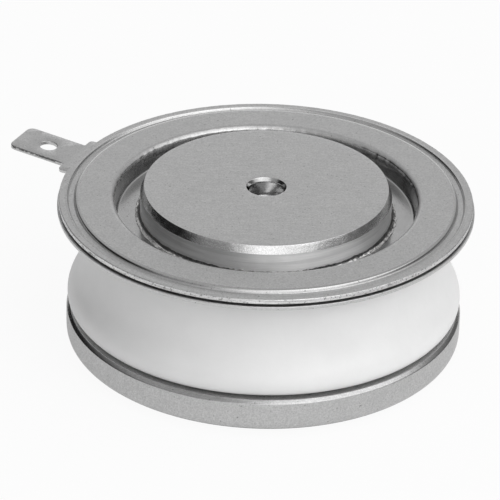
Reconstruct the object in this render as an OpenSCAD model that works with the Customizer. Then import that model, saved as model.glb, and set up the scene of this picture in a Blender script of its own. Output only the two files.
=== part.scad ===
// Disc thyristor in a ceramic capsule, clamped between two heat sinks
// Millimetres, +Z up, origin at the centre of the anode contact face

/* [Overall] */
// Height from the anode contact face to the cathode contact face
overall_h = 17; // [16.5:0.1:22]
// Diameter of the cold-welded outer flange
flange_d = 41.5; // [41.4:0.1:52]
// Diameter of both contact faces before their edge bevel
contact_d = 25; // [20.5:0.1:25.1]

/* [Contacts] */
// Radial width of the bevel round each contact face
bevel_w = 0.35; // [0.1:0.05:0.6]
// Height of the bevel round each contact face
bevel_h = 0.8; // [0.3:0.1:1]
// Diameter of the centring hole in each contact
centring_d = 4; // [3:0.1:5]
// Depth of the straight part of each centring hole
centring_depth = 2; // [1:0.1:2.3]
// Included angle of the drill point at the bottom of each centring hole
drill_angle = 118; // [110:2:140]
// Height of the anode contact
anode_contact_h = 5; // [4.6:0.1:6]
// Step from a contact's side in to the cathode contact's inner end, which presses on the washer
seat_inset = 3; // [2:0.1:5]
// Height of the cathode contact's inner end
seat_h = 2; // [1.2:0.1:2.6]

/* [Cathode lid] */
// Thickness of the lid's sheet
lid_t = 0.5; // [0.45:0.05:0.5]
// Step from the cathode contact face down to the lid's flat annulus
lid_drop = 1.1; // [0.8:0.1:1.6]
// Step from the annulus down to the lid's outer rim
rim_drop = 0.15; // [0.05:0.05:0.2]
// Distance from the contact's side to the top edge of the channel's outer wall
channel_w = 2.5; // [2:0.1:2.5]
// Depth of the channel below the annulus
channel_depth = 2; // [1.4:0.1:2.6]
// Slope of the channel's outer wall
channel_draft = 8; // [4:1:12]
// Inside radius of the bend at the channel's top edge
rim_bend_r = 0.1; // [0.05:0.05:0.15]
// Radius of the fillet at the foot of the channel's wall
foot_bend_r = 0.25; // [0.15:0.05:0.35]
// Distance from the flange's edge to the lid's edge
lid_inset = 0.15; // [0.1:0.05:0.3]

/* [Cold weld] */
// Distance from the flange's edge to the outer wall of the weld groove
groove_inset = 1.08; // [0.9:0.02:1.2]
// Width of the weld groove
groove_w = 0.68; // [0.5:0.02:0.8]
// Depth of the upper groove below the lid's outer rim
groove_depth = 0.2; // [0.1:0.02:0.22]
// Depth of the lower groove in the weld flange's underside
groove_under = 0.15; // [0.1:0.01:0.2]
// Slope width of each groove wall
groove_slope = 0.08; // [0.04:0.02:0.12]
// Rounding of both sheets' cut edges
edge_r = 0.08; // [0.04:0.01:0.1]

/* [Weld flange and blade] */
// Thickness of the weld flange and its blade
weld_t = 0.4; // [0.35:0.05:0.6]
// Distance that the weld flange stands in past the ceramic ring's bore
flange_bore_in = 0.1; // [0:0.05:0.15]
// Gap between the lid's rim and the weld flange's lip, outside the cold weld
rim_gap = 0.2; // [0.1:0.05:0.3]
// Width of the weld flange's level lip, from its edge in
weld_lip_w = 0.5; // [0.4:0.05:0.8]
// Direction of the blade, anticlockwise from +X
blade_angle = 154; // [0:1:359]
// Width of the blade
blade_w = 4.5; // [4:0.05:5]
// Distance from the flange's edge to the blade's tip
blade_reach = 7.4; // [6:0.05:8.5]
// Upward bend of the blade
blade_bend = 4.5; // [0:0.5:8]
// Rounding of the blade's tip corners
blade_corner_r = 0.75; // [0.3:0.05:1]
// Diameter of the hole in the blade
blade_hole_d = 1.8; // [1.4:0.1:2.2]
// Distance from the flange's edge to the hole's centre
blade_hole_at = 4; // [3.6:0.05:4.6]
// Width of the shoulder that carries the blade
shoulder_w = 6.9; // [6:0.1:8]
// Distance that the shoulder stands out of the flange's edge
shoulder_out = 1; // [0.8:0.05:1.2]
// Rounding of the shoulder's corners
shoulder_corner_r = 0.4; // [0.2:0.05:0.55]

/* [Ceramic] */
// Overhang of the flange beyond the ceramic ring's bulge
bulge_inset = 1; // [0.9:0.05:1.1]
// Depth of the hollow neck, from the bulge's widest point in
neck_depth = 1.8; // [1.6:0.05:1.85]
// Wall thickness at the ceramic ring's neck
neck_wall = 2.15; // [2:0.05:2.2]
// Height of the bulge's widest point above the anode ring
bulge_at = 1.3; // [1.1:0.1:1.6]
// Radius of the bulge in section
bulge_r = 2.4; // [1.8:0.1:3.2]
// Angle at which the bulge runs into the neck
flow_angle = 34; // [28:1:40]
// Rounding of the ceramic ring's lower outer edge
ceramic_foot_r = 1; // [0.6:0.1:1.2]
// Rounding of the ceramic ring's upper outer edge
ceramic_top_r = 0.5; // [0.3:0.1:0.6]
// Chamfer of the ceramic ring's bore at both ends
ceramic_bore_chamfer = 0.3; // [0.1:0.05:0.4]

/* [Anode ring] */
// Height of the anode ring
ring_h = 3.6; // [3.2:0.1:4.4]
// Distance that the anode contact stands out below the ring
anode_stand = 0.4; // [0.2:0.1:0.6]
// Distance from the flange's edge in to the ring's side
ring_inset = 0.95; // [0.8:0.05:1.1]
// Chamfer of the ring's upper outer edge
ring_chamfer = 0.35; // [0.2:0.05:0.5]
// Rounding of the ring's lower outer edge
ring_foot_r = 1.2; // [0.8:0.1:1.4]
// Width of the ring's inner ledge, from its bore to the ceramic ring's bore
ledge_w = 0.8; // [0.6:0.1:0.9]
// Depth of the rebate under the ring that holds the diaphragm
rebate_h = 0.9; // [0.7:0.1:1.1]
// Width of the rebate, from the ring's bore
rebate_w = 3.2; // [2.4:0.1:3.4]
// Thickness of the anode diaphragm
diaphragm_t = 0.3; // [0.2:0.05:0.4]
// Depth of the anode diaphragm's channel
diaphragm_depth = 1.2; // [0.8:0.1:1.4]
// Distance from the anode contact's side to the diaphragm's channel wall
diaphragm_channel_w = 1.9; // [1.6:0.1:2]
// Inside radius of the bend at that channel's edge
diaphragm_bend_r = 0.125; // [0.05:0.025:0.15]

/* [Brazed joints] */
// Thickness of the braze between the ceramic ring and each metal ring
seal_braze_t = 0.1; // [0.05:0.05:0.15]
// Width of the braze between the ceramic ring and each metal ring
seal_braze_w = 1.4; // [1:0.1:1.5]
// Width of the braze bead round each contact
bead_w = 0.48; // [0.3:0.02:0.6]
// Height of the braze bead round each contact
bead_h = 0.45; // [0.3:0.05:0.6]
// Gap between parts that are brazed, bonded or moulded onto each other
joint_gap = 0.02; // [0.01:0.01:0.05]

/* [Silicon stack] */
// Step from a contact's side in to the silicon wafer and the disc it is joined to
wafer_inset = 0.5; // [0.4:0.05:1.5]
// Thickness of the silicon wafer
wafer_t = 0.4; // [0.3:0.05:0.6]
// Width of the bevel ground on the wafer's edge
wafer_bevel = 0.6; // [0.3:0.1:0.8]
// Thickness of the molybdenum disc under the wafer
moly_disc_t = 1.5; // [1:0.1:2]
// Thickness of the molybdenum washer on the wafer
moly_washer_t = 0.5; // [0.3:0.1:0.8]
// Diameter of the hole in the washer, round the gate
washer_hole_d = 4.6; // [4:0.1:5.2]
// Radial width of the rubber outside the wafer's edge
edge_rubber_w = 0.38; // [0.3:0.02:0.46]
// Height of the rubber above the wafer
edge_rubber_h = 0.3; // [0.2:0.02:0.34]
// Height of the rubber's skirt below the wafer
edge_rubber_skirt = 0.5; // [0.2:0.1:0.8]
// Width of the rubber on the wafer's flat top
edge_rubber_cover = 0.6; // [0.3:0.1:1]
// Clearance between loose inner parts
inner_fit = 0.1; // [0.05:0.01:0.12]
// Radial clearance of the locating ring on the anode contact
ring_contact_fit = 0.15; // [0.1:0.05:0.3]
// Radial clearance of the locating ring in the ceramic ring's bore
ring_bore_fit = 0.3; // [0.15:0.05:0.35]
// Radial clearance of the locating ring's lip on the cathode contact's inner end
lip_fit = 0.3; // [0.15:0.05:0.6]
// Thickness of the locating ring's lip over the wafer's edge
lip_t = 0.5; // [0.4:0.1:0.8]

/* [Gate] */
// Height of the gate's line above the silicon wafer
gate_rise = 4.6; // [4.3:0.1:4.9]
// Angle from the blade to the gate terminal
gate_swing = 30; // [20:1:40]
// Outer diameter of the gate tube
tube_d = 1.8; // [1.6:0.1:2]
// Bore of the gate tube
tube_bore_d = 0.9; // [0.8:0.05:1]
// Distance that the gate tube stands inside the ceramic ring's bore
tube_inner_out = 0.4; // [0.2:0.1:0.6]
// Diameter of the braze washer round the gate tube
tube_braze_d = 3.2; // [2.8:0.1:3.4]
// Thickness of the braze washer round the gate tube
tube_braze_t = 0.3; // [0.2:0.05:0.4]
// Depth of the flat seat in the ceramic ring under that washer
tube_seat_depth = 0.4; // [0.35:0.05:0.6]
// Width of the gate terminal's blade
gate_blade_w = 2.8; // [2.4:0.1:3]
// Thickness of the gate terminal's blade
gate_blade_t = 0.5; // [0.4:0.1:0.8]
// Length of the gate terminal's blade beyond its ferrule
gate_blade_l = 5.5; // [4.5:0.1:5.6]
// Rounding of the blade's tip corners
gate_corner_r = 0.7; // [0.3:0.1:1.2]
// Distance from the gate tube's end to the centre of the hole in the blade
gate_hole_at = 3.3; // [2.4:0.1:3.8]
// Diameter of the hole in the gate terminal's blade
gate_hole_d = 1.2; // [1:0.1:1.3]
// Outer diameter of the gate terminal's ferrule
ferrule_d = 2.7; // [2.5:0.1:3]
// Length of the gate terminal's ferrule
ferrule_l = 1.2; // [1:0.1:1.3]
// Gap between the ferrule and the ceramic ring
ferrule_gap = 0.25; // [0.1:0.05:0.5]
// Diameter of the gate lead
lead_d = 0.6; // [0.4:0.05:0.7]
// Outer diameter of the insulating sleeve on the gate lead
sleeve_d = 1.6; // [1.2:0.1:1.7]
// Clearance of the gate lead in its sleeve, on each side
lead_fit = 0.05; // [0.02:0.01:0.1]
// Clearance of the sleeve in the cathode contact's slot, on each side
slot_fit = 0.2; // [0.1:0.05:0.3]
// Height of the gate recess above the slot's top
recess_over = 0.2; // [0.1:0.05:0.4]
// Outer diameter of the insulating bush in the cathode contact
bush_d = 5; // [4.6:0.1:5.2]
// Wall thickness of the insulating bush
bush_wall = 0.75; // [0.6:0.05:0.8]
// Distance from the cathode contact's inner end up to the bush
bush_rise = 0.75; // [0.4:0.05:1]
// Thickness of the bush's web above the spring
bush_web_t = 0.4; // [0.3:0.05:0.5]
// Gap between the bush's web and the gate lead
web_gap = 0.2; // [0.1:0.05:0.3]
// Diameter of the gate pin's tip
pin_tip_d = 1.4; // [1.2:0.1:1.6]
// Chamfer of the gate pin's tip
pin_tip_chamfer = 0.2; // [0.1:0.05:0.3]
// Diameter of the gate pin's stem
pin_stem_d = 1.1; // [0.9:0.05:1.2]
// Diameter of the gate pin's collar
pin_collar_d = 3; // [2.6:0.1:3.1]
// Thickness of the gate pin's collar
pin_collar_t = 0.5; // [0.4:0.05:0.6]
// Distance from the wafer to the gate pin's collar
pin_tip_h = 1.5; // [1.3:0.1:1.6]
// Wire diameter of the gate spring
spring_wire_d = 0.34; // [0.26:0.02:0.36]
// Number of turns of the gate spring
spring_turns = 3; // [2:0.5:3.5]

/* [Hidden] */

$fn = 96;
// How far a cutting tool runs past the face it cuts
cut = 1;
// How far the blade runs into its shoulder, so that both are one piece
blade_root = 0.05;
// Width of the braze bead's thin edges
bead_lip = 0.06;
// Sides of the spring's wire and rings of points for each of its turns
spring_sides = 8;
spring_steps = 20;

NICKEL = [0.66, 0.66, 0.67];
CERAMIC = [0.93, 0.93, 0.92];
COPPER = [0.78, 0.48, 0.36];
BRAZE = [0.74, 0.74, 0.73];
MOLYBDENUM = [0.52, 0.53, 0.55];
SILICON = [0.30, 0.32, 0.37];
RUBBER = [0.80, 0.78, 0.72];
PLASTIC = [0.95, 0.95, 0.93];
SPRING_STEEL = [0.60, 0.60, 0.62];

contact_r = contact_d / 2;
seat_r = contact_r - seat_inset;
wafer_r = contact_r - wafer_inset;
flange_r = flange_d / 2;
groove_outer_r = flange_r - groove_inset;
groove_inner_r = groove_outer_r - groove_w;
weld_lip_r = flange_r - weld_lip_w;
weld_lip_drop = rim_drop + rim_gap;

// Heights in the stack, from the anode contact face up
disc_z = anode_contact_h;
wafer_z = disc_z + moly_disc_t;
washer_z = wafer_z + wafer_t;
cathode_z = washer_z + moly_washer_t;

// Heights of the housing
annulus_z = overall_h - lid_drop;
weld_plane_z = annulus_z - lid_t;
weld_under_z = weld_plane_z - weld_t;
weld_lip_z = weld_under_z - weld_lip_drop;
ceramic_top_z = weld_under_z - seal_braze_t;
ring_top_z = anode_stand + ring_h;
ceramic_foot_z = ring_top_z + seal_braze_t;
floor_z = annulus_z - channel_depth;
ring_seat_z = anode_stand + rebate_h;
diaphragm_z = ring_seat_z - diaphragm_t;
anode_floor_z = diaphragm_z + diaphragm_depth;

// Radii of the housing: the ceramic ring follows the flange's edge, the channel the contact
channel_r = contact_r + channel_w;
widest_r = flange_r - bulge_inset;
neck_r = widest_r - neck_depth;
ceramic_bore_r = neck_r - neck_wall;
ring_r = flange_r - ring_inset;
ring_bore_r = ceramic_bore_r - ledge_w;
rebate_r = ring_bore_r + rebate_w;

// The ceramic ring's outer curve: a bulge that flows into a hollow neck
bulge_z = ring_top_z + bulge_at;
bulge_centre_r = widest_r - bulge_r;
flow_r = bulge_centre_r + bulge_r * cos(flow_angle);
flow_z = bulge_z + bulge_r * sin(flow_angle);
hollow_r = (flow_r - neck_r) / (1 - cos(flow_angle));
hollow_centre_r = neck_r + hollow_r;
hollow_z = flow_z + hollow_r * sin(flow_angle);
foot_rise = bulge_z - ceramic_foot_z - ceramic_foot_r;
foot_centre_r = bulge_centre_r + sqrt(pow(bulge_r - ceramic_foot_r, 2) - pow(foot_rise, 2));
foot_blend_angle = -asin(foot_rise / (bulge_r - ceramic_foot_r));

// Radius of the ceramic ring's outer curve at height z, above the bulge's widest point
function ceramic_r(z) =
    z > hollow_z ? neck_r :
    z > flow_z ? hollow_centre_r - sqrt(pow(hollow_r, 2) - pow(hollow_z - z, 2)) :
    bulge_centre_r + sqrt(pow(bulge_r, 2) - pow(z - bulge_z, 2));

// The gate: everything on its line is measured from the disc's axis
gate_angle = blade_angle - gate_swing;
gate_z = washer_z + gate_rise;
tube_seat_r = neck_r - tube_seat_depth;
tube_start_r = ceramic_bore_r - tube_inner_out;
ferrule_start_r = ceramic_r(gate_z - ferrule_d / 2) + ferrule_gap;
tube_end_r = ferrule_start_r + ferrule_l;
slot_r = sleeve_d / 2 + slot_fit;
bush_r = bush_d / 2;
bush_bore_r = bush_r - bush_wall;
bush_z = cathode_z + bush_rise;
recess_top_z = gate_z + slot_r + recess_over;
collar_z = washer_z + pin_tip_h;
spring_z = collar_z + pin_collar_t;
lead_under_z = gate_z - lead_d / 2;
web_top_z = lead_under_z - web_gap;
web_z = web_top_z - bush_web_t;
spring_r = (bush_bore_r + pin_stem_d / 2) / 2;

// Points along an arc in the r-z plane, from angle a0 to angle a1, without the first few
function arc(r0, z0, radius, a0, a1, steps, first = 0) =
    [for (i = [first : steps])
        let (a = a0 + (a1 - a0) * i / steps)
        [r0 + radius * cos(a), z0 + radius * sin(a)]];

// A corner of 90 degrees rounded by an arc that starts at angle a0
function rounded_corner(x, y, radius, a0) = arc(x, y, radius, a0, a0 + 90, 6);

// Height of a channel wall's straight part
function wall_h(depth, bend, foot, draft) =
    depth - bend - foot + (bend + foot) * sin(draft);

// Radius at which the foot fillet of a channel wall has its centre
function foot_centre(wall_r, depth, bend, foot, draft) =
    wall_r + bend - (bend + foot) * cos(draft) - wall_h(depth, bend, foot, draft) * tan(draft);

// Outer face of a pressed channel, from its bore out to the annulus at height 0
function channel_face(bore_r, wall_r, depth, bend, foot, draft) =
    concat(
        [[bore_r, -depth]],
        arc(foot_centre(wall_r, depth, bend, foot, draft), foot - depth, foot, 270, 360 - draft, 6),
        arc(wall_r + bend, -bend, bend, 180 - draft, 90, 8));

// Inner face of the same sheet, from the annulus back to the bore
function channel_back(bore_r, wall_r, depth, bend, foot, draft, sheet) =
    concat(
        arc(wall_r + bend, -bend, bend - sheet, 90, 180 - draft, 4),
        arc(foot_centre(wall_r, depth, bend, foot, draft), foot - depth, foot + sheet,
            360 - draft, 270, 8),
        [[bore_r, -depth - sheet]]);

// Places children with their Z axis along the gate's line, at radius r from the axis
module on_gate_line(r) {
    rotate([0, 0, gate_angle])
        translate([r, 0, gate_z])
            rotate([0, 90, 0])
                children();
}

// A centring hole, cut from its mouth at height 0 down to its drill point
module centring_hole() {
    r = centring_d / 2;
    point_h = r / tan(drill_angle / 2);
    rotate_extrude()
        polygon([[0, cut], [r, cut], [r, -centring_depth], [0, -centring_depth - point_h]]);
}

// The cathode contact: a turned copper pole with a gate recess and a slot for the lead
module cathode_contact() {
    seat_top_z = cathode_z + seat_h;
    color(NICKEL)
    difference() {
        rotate_extrude()
            polygon([
                [0, cathode_z],
                [seat_r, cathode_z],
                [seat_r, seat_top_z],
                [contact_r, seat_top_z],
                [contact_r, overall_h - bevel_h],
                [contact_r - bevel_w, overall_h],
                [0, overall_h]]);
        translate([0, 0, overall_h])
            centring_hole();
        translate([0, 0, cathode_z - cut])
            cylinder(r = bush_r + inner_fit, h = recess_top_z - cathode_z + cut);
        on_gate_line(0)
            cylinder(r = slot_r, h = contact_r + cut);
        rotate([0, 0, gate_angle])
            translate([0, -slot_r, cathode_z - cut])
                cube([contact_r + cut, 2 * slot_r, gate_z - cathode_z + cut]);
    }
}

// The anode contact: a turned copper pole
module anode_contact() {
    color(NICKEL)
    difference() {
        rotate_extrude()
            polygon([
                [0, 0],
                [contact_r - bevel_w, 0],
                [contact_r, bevel_h],
                [contact_r, anode_contact_h],
                [0, anode_contact_h]]);
        mirror([0, 0, 1])
            centring_hole();
    }
}

// A hollow-faced braze bead on a sheet at height 0, against a contact's side
module braze_bead() {
    inner_r = contact_r + joint_gap;
    outer_r = inner_r + bead_w;
    rotate_extrude()
        polygon(concat(
            [[inner_r, 0], [outer_r, 0]],
            [for (p = arc(0, 0, 1, 270, 180, 7))
                [outer_r + (bead_w - bead_lip) * p[0], bead_h + (bead_h - bead_lip) * p[1]]],
            [[inner_r, bead_h]]));
}

module cathode_braze_bead() {
    color(BRAZE)
        translate([0, 0, floor_z])
            braze_bead();
}

module anode_braze_bead() {
    color(BRAZE)
        translate([0, 0, anode_floor_z])
            mirror([0, 0, 1])
                braze_bead();
}

// The cathode lid: pressed sheet with a channel, an annulus and the upper weld groove
module cathode_lid() {
    bore_r = contact_r + joint_gap;
    lid_r = flange_r - lid_inset;
    groove_z = -rim_drop - groove_depth;
    rim_under_z = -rim_drop - lid_t;
    bend = lid_t + rim_bend_r;
    color(NICKEL)
        translate([0, 0, annulus_z])
            rotate_extrude()
                polygon(concat(
                    channel_face(bore_r, channel_r, channel_depth, bend,
                                 foot_bend_r, channel_draft),
                    [[groove_inner_r - groove_slope, 0],
                     [groove_inner_r + groove_slope, groove_z],
                     [groove_outer_r - groove_slope, groove_z],
                     [groove_outer_r + groove_slope, -rim_drop]],
                    arc(lid_r - edge_r, -rim_drop - edge_r, edge_r, 90, 0, 3),
                    arc(lid_r - edge_r, rim_under_z + edge_r, edge_r, 0, -90, 3),
                    [[groove_outer_r + groove_slope, rim_under_z],
                     [groove_outer_r - groove_slope, -lid_t]],
                    channel_back(bore_r, channel_r, channel_depth, bend,
                                 foot_bend_r, channel_draft, lid_t)));
}

// Plan of the blade, from its bend line at x = 0 out to its tip
module blade_plan() {
    tip = blade_reach - shoulder_out;
    half = blade_w / 2;
    r = blade_corner_r;
    polygon(concat(
        [[-blade_root, -half]],
        rounded_corner(tip - r, r - half, r, 270),
        rounded_corner(tip - r, half - r, r, 0),
        [[-blade_root, half]]));
}

// Plan of the shoulder, from the start of the flange's lip out to the blade's bend line
module shoulder_plan() {
    half = shoulder_w / 2;
    r = shoulder_corner_r;
    tip = flange_r + shoulder_out;
    polygon(concat(
        [[weld_lip_r, -half]],
        rounded_corner(tip - r, r - half, r, 270),
        rounded_corner(tip - r, half - r, r, 0),
        [[weld_lip_r, half]]));
}

// The housing's weld flange, stamped in one piece with the auxiliary cathode blade
module weld_flange() {
    bore_r = ceramic_bore_r - flange_bore_in;
    color(NICKEL)
    union() {
        translate([0, 0, weld_under_z])
            rotate_extrude()
                polygon(concat(
                    [[bore_r, 0],
                     [groove_inner_r - groove_slope, 0],
                     [groove_inner_r + groove_slope, groove_under],
                     [groove_outer_r - groove_slope, groove_under],
                     [groove_outer_r + groove_slope, -rim_drop],
                     [weld_lip_r, -weld_lip_drop]],
                    arc(flange_r - edge_r, edge_r - weld_lip_drop, edge_r, 270, 360, 3),
                    arc(flange_r - edge_r, weld_t - weld_lip_drop - edge_r, edge_r, 0, 90, 3),
                    [[weld_lip_r, weld_t - weld_lip_drop],
                     [groove_outer_r + groove_slope, weld_t - rim_drop],
                     [groove_outer_r - groove_slope, weld_t],
                     [bore_r, weld_t]]));
        rotate([0, 0, blade_angle]) {
            translate([0, 0, weld_lip_z])
                linear_extrude(height = weld_t)
                    shoulder_plan();
            translate([flange_r + shoulder_out, 0, weld_lip_z + weld_t / 2])
                rotate([0, -blade_bend, 0])
                    translate([0, 0, -weld_t / 2])
                        difference() {
                            linear_extrude(height = weld_t)
                                blade_plan();
                            translate([blade_hole_at - shoulder_out, 0, -cut])
                                cylinder(d = blade_hole_d, h = weld_t + 2 * cut);
                        }
        }
    }
}

// A flat ring of braze, from radius r0 outwards
module seal_braze(r0, z) {
    translate([0, 0, z])
        difference() {
            cylinder(r = r0 + seal_braze_w, h = seal_braze_t);
            translate([0, 0, -cut])
                cylinder(r = r0, h = seal_braze_t + 2 * cut);
        }
}

module upper_seal_braze() {
    color(BRAZE)
        seal_braze(ceramic_bore_r + ceramic_bore_chamfer, ceramic_top_z);
}

module lower_seal_braze() {
    color(BRAZE)
        seal_braze(ceramic_bore_r + ceramic_bore_chamfer, ring_top_z);
}

// The ceramic ring: a bulge over the anode ring that flows into a neck under the flange
module ceramic_ring() {
    c = ceramic_bore_chamfer;
    color(CERAMIC)
    difference() {
        rotate_extrude()
            polygon(concat(
                [[ceramic_bore_r, ceramic_foot_z + c], [ceramic_bore_r + c, ceramic_foot_z]],
                arc(foot_centre_r, ceramic_foot_z + ceramic_foot_r, ceramic_foot_r,
                    270, 360 + foot_blend_angle, 8),
                arc(bulge_centre_r, bulge_z, bulge_r, foot_blend_angle, flow_angle, 14, 1),
                arc(hollow_centre_r, hollow_z, hollow_r, 180 + flow_angle, 180, 12, 1),
                arc(neck_r - ceramic_top_r, ceramic_top_z - ceramic_top_r, ceramic_top_r, 0, 90, 5),
                [[ceramic_bore_r + c, ceramic_top_z], [ceramic_bore_r, ceramic_top_z - c]]));
        on_gate_line(0)
            cylinder(r = tube_d / 2 + joint_gap, h = widest_r + cut);
        on_gate_line(tube_seat_r)
            cylinder(r = tube_braze_d / 2 + inner_fit, h = widest_r - tube_seat_r + cut);
    }
}

// The anode ring: turned, with a ledge for the ceramic ring and a rebate underneath
module anode_ring() {
    color(NICKEL)
        rotate_extrude()
            polygon(concat(
                [[ring_bore_r, ring_seat_z],
                 [rebate_r, ring_seat_z],
                 [rebate_r, anode_stand]],
                arc(ring_r - ring_foot_r, anode_stand + ring_foot_r, ring_foot_r, 270, 360, 10),
                [[ring_r, ring_top_z - ring_chamfer],
                 [ring_r - ring_chamfer, ring_top_z],
                 [ring_bore_r, ring_top_z]]));
}

// The anode diaphragm: a pressed sheet that closes the gap between ring and contact
module anode_diaphragm() {
    bore_r = contact_r + joint_gap;
    wall_r = contact_r + diaphragm_channel_w;
    bend = diaphragm_t + diaphragm_bend_r;
    outer_r = rebate_r - joint_gap;
    color(NICKEL)
        translate([0, 0, diaphragm_z])
            mirror([0, 0, 1])
                rotate_extrude()
                    polygon(concat(
                        channel_face(bore_r, wall_r, diaphragm_depth, bend, foot_bend_r,
                                     channel_draft),
                        [[outer_r, 0], [outer_r, -diaphragm_t]],
                        channel_back(bore_r, wall_r, diaphragm_depth, bend, foot_bend_r,
                                     channel_draft, diaphragm_t)));
}

module molybdenum_disc() {
    color(MOLYBDENUM)
        translate([0, 0, disc_z])
            cylinder(r = wafer_r, h = moly_disc_t);
}

// The silicon wafer, with its edge ground to a bevel
module silicon_wafer() {
    color(SILICON)
        translate([0, 0, wafer_z])
            cylinder(r1 = wafer_r, r2 = wafer_r - wafer_bevel, h = wafer_t);
}

// The silicone rubber that guards the wafer's bevelled edge
module wafer_edge_rubber() {
    bore_r = wafer_r + joint_gap;
    outer_r = wafer_r + edge_rubber_w;
    inner_r = wafer_r - wafer_bevel - edge_rubber_cover;
    foot_z = wafer_z - edge_rubber_skirt;
    under_z = washer_z + joint_gap;
    color(RUBBER)
        rotate_extrude()
            polygon(concat(
                [[bore_r, foot_z], [outer_r, foot_z]],
                arc(outer_r - edge_rubber_h, washer_z, edge_rubber_h, 0, 90, 5),
                [[inner_r, washer_z + edge_rubber_h],
                 [inner_r, under_z],
                 [bore_r - wafer_bevel, under_z],
                 [bore_r, wafer_z + joint_gap]]));
}

module molybdenum_washer() {
    color(MOLYBDENUM)
        translate([0, 0, washer_z])
            difference() {
                cylinder(r = seat_r, h = moly_washer_t);
                translate([0, 0, -cut])
                    cylinder(d = washer_hole_d, h = moly_washer_t + 2 * cut);
            }
}

// The locating ring: stands on the anode ring's ledge and centres the stack
module locating_ring() {
    lip_z = washer_z + edge_rubber_h + inner_fit;
    lip_r = seat_r + lip_fit;
    inner_r = contact_r + ring_contact_fit;
    outer_r = ceramic_bore_r - ring_bore_fit;
    color(PLASTIC)
        rotate_extrude()
            polygon([
                [inner_r, ring_top_z],
                [outer_r, ring_top_z],
                [outer_r, lip_z + lip_t],
                [lip_r, lip_z + lip_t],
                [lip_r, lip_z],
                [inner_r, lip_z]]);
}

// The gate pin: a turned pin with a collar, pressed onto the wafer by the spring
module gate_pin() {
    tip_r = pin_tip_d / 2;
    stem_r = pin_stem_d / 2;
    collar_r = pin_collar_d / 2;
    color(COPPER)
        rotate_extrude()
            polygon([
                [0, washer_z],
                [tip_r - pin_tip_chamfer, washer_z],
                [tip_r, washer_z + pin_tip_chamfer],
                [tip_r, collar_z],
                [collar_r, collar_z],
                [collar_r, spring_z],
                [stem_r, spring_z],
                [stem_r, lead_under_z],
                [0, lead_under_z]]);
}

// A ring of points round the spring's wire, at one step along the helix
function spring_ring(angle, z, wire_r) =
    [for (k = [0 : spring_sides - 1])
        let (b = 360 * k / spring_sides, r = spring_r + wire_r * cos(b))
        [r * cos(angle), r * sin(angle), z + wire_r * sin(b)]];

// The gate spring: a helix between the pin's collar and the bush's web
module gate_spring() {
    steps = round(spring_turns * spring_steps);
    wire_r = spring_wire_d / 2;
    bottom = spring_z + wire_r;
    rise = web_z - spring_z - spring_wire_d;
    rings = [for (i = [0 : steps])
        spring_ring(360 * spring_turns * i / steps, bottom + rise * i / steps, wire_r)];
    sheath = [for (i = [0 : steps - 1], k = [0 : spring_sides - 1])
        let (a = i * spring_sides + k, b = i * spring_sides + (k + 1) % spring_sides)
        [a, a + spring_sides, b + spring_sides, b]];
    start_cap = [[for (k = [0 : spring_sides - 1]) k]];
    end_cap = [[for (k = [spring_sides - 1 : -1 : 0]) steps * spring_sides + k]];
    color(SPRING_STEEL)
        polyhedron(points = [for (ring = rings) each ring],
                   faces = concat(sheath, start_cap, end_cap));
}

// The insulating bush: a cup round the spring, slotted for the lead
module gate_bush() {
    color(PLASTIC)
    difference() {
        translate([0, 0, bush_z])
            cylinder(r = bush_r, h = recess_top_z - inner_fit - bush_z);
        translate([0, 0, bush_z - cut])
            cylinder(r = bush_bore_r, h = web_z - bush_z + cut);
        translate([0, 0, web_top_z])
            cylinder(r = bush_bore_r, h = recess_top_z - web_top_z);
        translate([0, 0, web_z - cut])
            cylinder(r = pin_stem_d / 2 + inner_fit, h = bush_web_t + 2 * cut);
        rotate([0, 0, gate_angle])
            translate([0, -slot_r, web_top_z])
                cube([bush_r + cut, 2 * slot_r, recess_top_z - web_top_z]);
    }
}

// The gate lead, from the pin's stem out into the gate tube
module gate_lead() {
    color(COPPER)
        on_gate_line(-pin_stem_d / 2)
            cylinder(d = lead_d, h = tube_end_r - inner_fit + pin_stem_d / 2);
}

module gate_lead_sleeve() {
    start_r = bush_r + inner_fit;
    color(PLASTIC)
        on_gate_line(start_r)
            difference() {
                cylinder(d = sleeve_d, h = tube_start_r - inner_fit - start_r);
                translate([0, 0, -cut])
                    cylinder(r = lead_d / 2 + lead_fit, h = tube_start_r + 2 * cut);
            }
}

// The gate tube, brazed through the ceramic ring's neck
module gate_tube() {
    color(NICKEL)
        on_gate_line(tube_start_r)
            difference() {
                cylinder(d = tube_d, h = tube_end_r - tube_start_r);
                translate([0, 0, -cut])
                    cylinder(d = tube_bore_d, h = tube_end_r - tube_start_r + 2 * cut);
            }
}

module gate_tube_braze() {
    color(BRAZE)
        on_gate_line(tube_seat_r)
            difference() {
                cylinder(d = tube_braze_d, h = tube_braze_t);
                translate([0, 0, -cut])
                    cylinder(r = tube_d / 2 + joint_gap, h = tube_braze_t + 2 * cut);
            }
}

// Plan of the gate terminal's blade, from the ferrule out to its tip
module gate_blade_plan() {
    half = gate_blade_w / 2;
    r = gate_corner_r;
    polygon(concat(
        [[-ferrule_l / 2, -half]],
        rounded_corner(gate_blade_l - r, r - half, r, 270),
        rounded_corner(gate_blade_l - r, half - r, r, 0),
        [[-ferrule_l / 2, half]]));
}

// The gate terminal: a flat blade with a ferrule that fits over the gate tube
module gate_terminal() {
    color(NICKEL)
    difference() {
        union() {
            on_gate_line(ferrule_start_r)
                cylinder(d = ferrule_d, h = ferrule_l);
            rotate([0, 0, gate_angle])
                translate([tube_end_r, 0, gate_z - gate_blade_t / 2])
                    linear_extrude(height = gate_blade_t)
                        gate_blade_plan();
        }
        on_gate_line(ferrule_start_r - cut)
            cylinder(r = tube_d / 2 + joint_gap, h = ferrule_l + cut);
        rotate([0, 0, gate_angle])
            translate([tube_end_r + gate_hole_at, 0, gate_z - gate_blade_t])
                cylinder(d = gate_hole_d, h = 2 * gate_blade_t);
    }
}

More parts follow.
